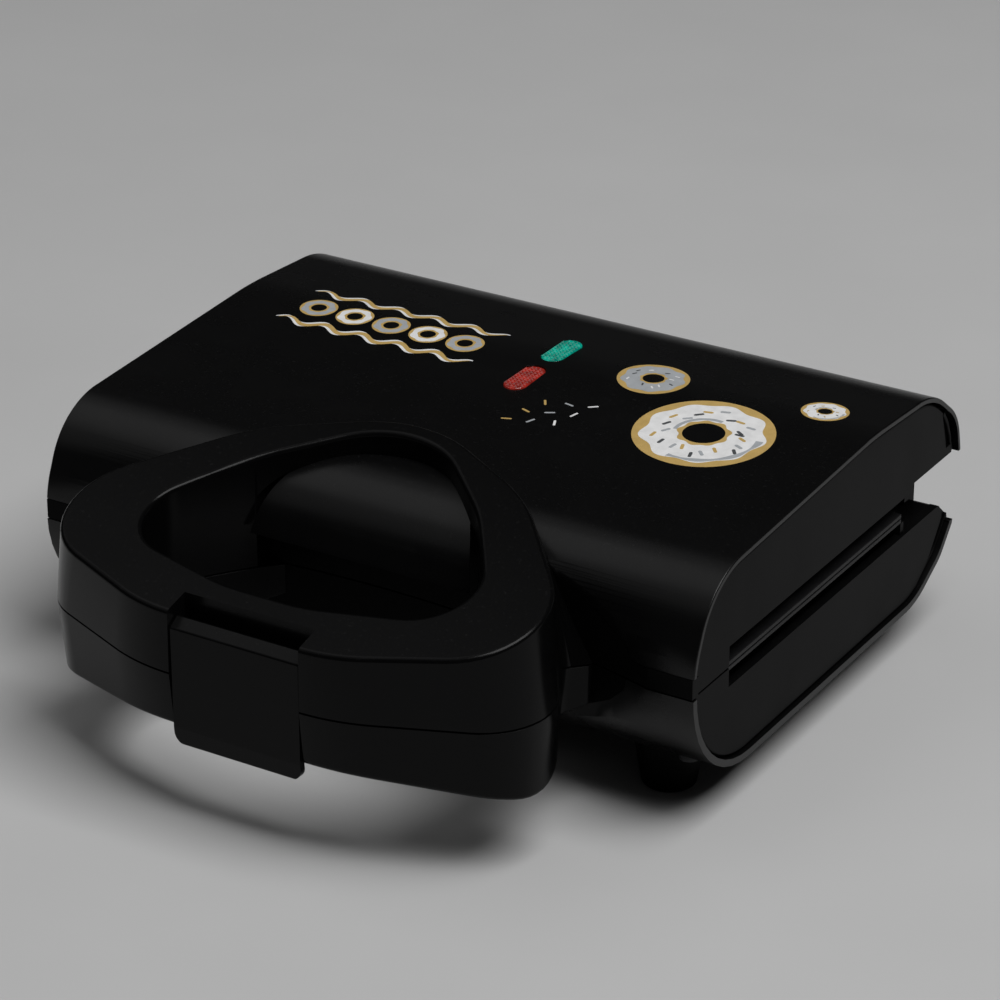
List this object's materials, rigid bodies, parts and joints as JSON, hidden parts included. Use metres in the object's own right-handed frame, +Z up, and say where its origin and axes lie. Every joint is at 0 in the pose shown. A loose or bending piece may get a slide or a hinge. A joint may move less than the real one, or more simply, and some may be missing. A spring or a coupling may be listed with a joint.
{
  "type": "donut maker",
  "caption": "Hinged table-top iron that bakes ring cakes between two heated plates, with a split loop handle, a latch clip and two indicator lamps.",
  "frame": {"origin": "on the table surface, under the middle of the overall box", "axes": "+Z up, -Y towards the handle and the user, +X to the right as seen by the user"},
  "size_m": [0.23, 0.241, 0.092],
  "materials": {
    "gloss_shell": "high-gloss black moulded shell",
    "housing": "satin-gloss black heat-resistant housing",
    "handle": "semi-gloss black cool-touch handle",
    "non_stick": "cast aluminium with dark non-stick coating",
    "element": "oxidised tubular element sheath",
    "sheet_steel": "bright rolled sheet",
    "zinc_steel": "zinc-plated steel",
    "green_lens": "ribbed teal-green indicator lens",
    "red_lens": "ribbed red indicator lens",
    "holder": "heat-resistant off-white moulding",
    "lamp_glass": "clear neon bulb",
    "wire_sleeve": "glass-fibre sleeved lead",
    "ceramic_can": "ceramic and steel thermostat body",
    "fuse": "metal cartridge",
    "rubber": "black moulded rubber",
    "feet": "dense black rubber"
  },
  "bodies": {
    "base": {"bottom_cover": "gloss_shell", "base_housing": "housing", "lower_handle_bracket": "housing", "lower_handle": "handle", "lower_plate": "non_stick", "lower_mould_1": "non_stick", "lower_mould_2": "non_stick", "lower_mould_3": "non_stick", "lower_mould_4": "non_stick", "lower_mould_5": "non_stick", "lower_mould_6": "non_stick", "lower_heater": "element", "lower_reflector": "sheet_steel", "lower_plate_screws": "zinc_steel", "lower_handle_screws": "zinc_steel", "base_screws": "zinc_steel", "hinge_pins": "zinc_steel", "thermostat": "ceramic_can", "thermal_fuse": "fuse", "terminal_block": "holder", "base_wires": "wire_sleeve", "cord_gland": "rubber", "foot_front_left": "feet", "foot_front_right": "feet", "foot_rear_left": "feet", "foot_rear_right": "feet", "foot_screws": "zinc_steel"},
    "lid": {"top_cover": "gloss_shell", "lid_housing": "housing", "upper_handle": "handle", "upper_plate": "non_stick", "upper_mould_1": "non_stick", "upper_mould_2": "non_stick", "upper_mould_3": "non_stick", "upper_mould_4": "non_stick", "upper_mould_5": "non_stick", "upper_mould_6": "non_stick", "upper_heater": "element", "upper_reflector": "sheet_steel", "upper_plate_screws": "zinc_steel", "upper_handle_screws": "zinc_steel", "lid_screws": "zinc_steel", "green_lens": "green_lens", "red_lens": "red_lens", "lamp_holder": "holder", "neon_lamps": "lamp_glass", "lid_wires": "wire_sleeve", "latch_pin": "zinc_steel"},
    "latch": {"latch_clip": "handle"}
  },
  "joints": [
    {"name": "lid_hinge", "type": "hinge", "parent": "base", "child": "lid", "pos_m": [0, 0.108, 0.0515], "axis": [-1, 0, 0], "range_deg": [0, 95]},
    {"name": "latch_pivot", "type": "hinge", "parent": "lid", "child": "latch", "pos_m": [0, -0.1156, 0.0605], "axis": [-1, 0, 0], "range_deg": [0, 30]}
  ]
}
